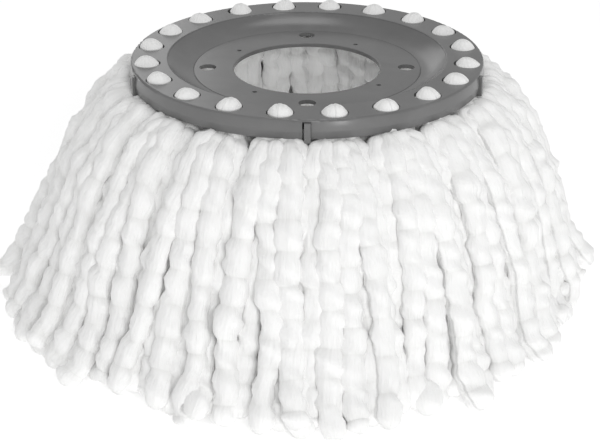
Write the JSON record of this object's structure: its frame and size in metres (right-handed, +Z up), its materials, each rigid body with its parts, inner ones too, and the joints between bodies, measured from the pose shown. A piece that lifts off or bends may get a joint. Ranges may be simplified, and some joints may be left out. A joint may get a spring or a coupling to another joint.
{
  "type": "spin mop head",
  "caption": "Round spin-mop head: grey moulded disc with a dished centre and bore, a snap-in clamp ring, and white looped microfibre strand bundles that flare out.",
  "frame": {"origin": "on the disc's axis, on the plane that the strands stand on, at the bottom centre of the head's box", "axes": "+Z up along the disc's axis, -Y towards the front, which is the side of the snap tab that faces forwards, +X to the right"},
  "size_m": [0.2766, 0.2766, 0.1184],
  "materials": {
    "grey_polypropylene": "semi-matt injection-moulded grey polypropylene",
    "microfibre_chenille": "soft white looped microfibre, beaded along each strand"
  },
  "bodies": {
    "head": {"top_disc": "grey_polypropylene", "clamp_ring": "grey_polypropylene", "fold_01": "microfibre_chenille", "fold_02": "microfibre_chenille", "fold_03": "microfibre_chenille", "fold_04": "microfibre_chenille", "fold_05": "microfibre_chenille", "fold_06": "microfibre_chenille", "fold_07": "microfibre_chenille", "fold_08": "microfibre_chenille", "fold_09": "microfibre_chenille", "fold_10": "microfibre_chenille", "fold_11": "microfibre_chenille", "fold_12": "microfibre_chenille", "fold_13": "microfibre_chenille", "fold_14": "microfibre_chenille", "fold_15": "microfibre_chenille", "fold_16": "microfibre_chenille", "fold_17": "microfibre_chenille", "fold_18": "microfibre_chenille", "fold_19": "microfibre_chenille", "fold_20": "microfibre_chenille"},
    "tuft_01": {"tuft_01": "microfibre_chenille"},
    "tuft_02": {"tuft_02": "microfibre_chenille"},
    "tuft_03": {"tuft_03": "microfibre_chenille"},
    "tuft_04": {"tuft_04": "microfibre_chenille"},
    "tuft_05": {"tuft_05": "microfibre_chenille"},
    "tuft_06": {"tuft_06": "microfibre_chenille"},
    "tuft_07": {"tuft_07": "microfibre_chenille"},
    "tuft_08": {"tuft_08": "microfibre_chenille"},
    "tuft_09": {"tuft_09": "microfibre_chenille"},
    "tuft_10": {"tuft_10": "microfibre_chenille"},
    "tuft_11": {"tuft_11": "microfibre_chenille"},
    "tuft_12": {"tuft_12": "microfibre_chenille"},
    "tuft_13": {"tuft_13": "microfibre_chenille"},
    "tuft_14": {"tuft_14": "microfibre_chenille"},
    "tuft_15": {"tuft_15": "microfibre_chenille"},
    "tuft_16": {"tuft_16": "microfibre_chenille"},
    "tuft_17": {"tuft_17": "microfibre_chenille"},
    "tuft_18": {"tuft_18": "microfibre_chenille"},
    "tuft_19": {"tuft_19": "microfibre_chenille"},
    "tuft_20": {"tuft_20": "microfibre_chenille"}
  },
  "joints": [
    {"name": "flare_01", "type": "hinge", "parent": "head", "child": "tuft_01", "pos_m": [0.01272, -0.0803, 0.1039], "axis": [-0.9877, -0.1564, 0], "range_deg": [0, 55]},
    {"name": "flare_02", "type": "hinge", "parent": "head", "child": "tuft_02", "pos_m": [0.03691, -0.07244, 0.1039], "axis": [-0.891, -0.454, 0], "range_deg": [0, 55]},
    {"name": "flare_03", "type": "hinge", "parent": "head", "child": "tuft_03", "pos_m": [0.05749, -0.05749, 0.1039], "axis": [-0.7071, -0.7071, 0], "range_deg": [0, 55]},
    {"name": "flare_04", "type": "hinge", "parent": "head", "child": "tuft_04", "pos_m": [0.07244, -0.03691, 0.1039], "axis": [-0.454, -0.891, 0], "range_deg": [0, 55]},
    {"name": "flare_05", "type": "hinge", "parent": "head", "child": "tuft_05", "pos_m": [0.0803, -0.01272, 0.1039], "axis": [-0.1564, -0.9877, 0], "range_deg": [0, 55]},
    {"name": "flare_06", "type": "hinge", "parent": "head", "child": "tuft_06", "pos_m": [0.0803, 0.01272, 0.1039], "axis": [0.1564, -0.9877, 0], "range_deg": [0, 55]},
    {"name": "flare_07", "type": "hinge", "parent": "head", "child": "tuft_07", "pos_m": [0.07244, 0.03691, 0.1039], "axis": [0.454, -0.891, 0], "range_deg": [0, 55]},
    {"name": "flare_08", "type": "hinge", "parent": "head", "child": "tuft_08", "pos_m": [0.05749, 0.05749, 0.1039], "axis": [0.7071, -0.7071, 0], "range_deg": [0, 55]},
    {"name": "flare_09", "type": "hinge", "parent": "head", "child": "tuft_09", "pos_m": [0.03691, 0.07244, 0.1039], "axis": [0.891, -0.454, 0], "range_deg": [0, 55]},
    {"name": "flare_10", "type": "hinge", "parent": "head", "child": "tuft_10", "pos_m": [0.01272, 0.0803, 0.1039], "axis": [0.9877, -0.1564, 0], "range_deg": [0, 55]},
    {"name": "flare_11", "type": "hinge", "parent": "head", "child": "tuft_11", "pos_m": [-0.01272, 0.0803, 0.1039], "axis": [0.9877, 0.1564, 0], "range_deg": [0, 55]},
    {"name": "flare_12", "type": "hinge", "parent": "head", "child": "tuft_12", "pos_m": [-0.03691, 0.07244, 0.1039], "axis": [0.891, 0.454, 0], "range_deg": [0, 55]},
    {"name": "flare_13", "type": "hinge", "parent": "head", "child": "tuft_13", "pos_m": [-0.05749, 0.05749, 0.1039], "axis": [0.7071, 0.7071, 0], "range_deg": [0, 55]},
    {"name": "flare_14", "type": "hinge", "parent": "head", "child": "tuft_14", "pos_m": [-0.07244, 0.03691, 0.1039], "axis": [0.454, 0.891, 0], "range_deg": [0, 55]},
    {"name": "flare_15", "type": "hinge", "parent": "head", "child": "tuft_15", "pos_m": [-0.0803, 0.01272, 0.1039], "axis": [0.1564, 0.9877, 0], "range_deg": [0, 55]},
    {"name": "flare_16", "type": "hinge", "parent": "head", "child": "tuft_16", "pos_m": [-0.0803, -0.01272, 0.1039], "axis": [-0.1564, 0.9877, 0], "range_deg": [0, 55]},
    {"name": "flare_17", "type": "hinge", "parent": "head", "child": "tuft_17", "pos_m": [-0.07244, -0.03691, 0.1039], "axis": [-0.454, 0.891, 0], "range_deg": [0, 55]},
    {"name": "flare_18", "type": "hinge", "parent": "head", "child": "tuft_18", "pos_m": [-0.05749, -0.05749, 0.1039], "axis": [-0.7071, 0.7071, 0], "range_deg": [0, 55]},
    {"name": "flare_19", "type": "hinge", "parent": "head", "child": "tuft_19", "pos_m": [-0.03691, -0.07244, 0.1039], "axis": [-0.891, 0.454, 0], "range_deg": [0, 55]},
    {"name": "flare_20", "type": "hinge", "parent": "head", "child": "tuft_20", "pos_m": [-0.01272, -0.0803, 0.1039], "axis": [-0.9877, 0.1564, 0], "range_deg": [0, 55]}
  ]
}
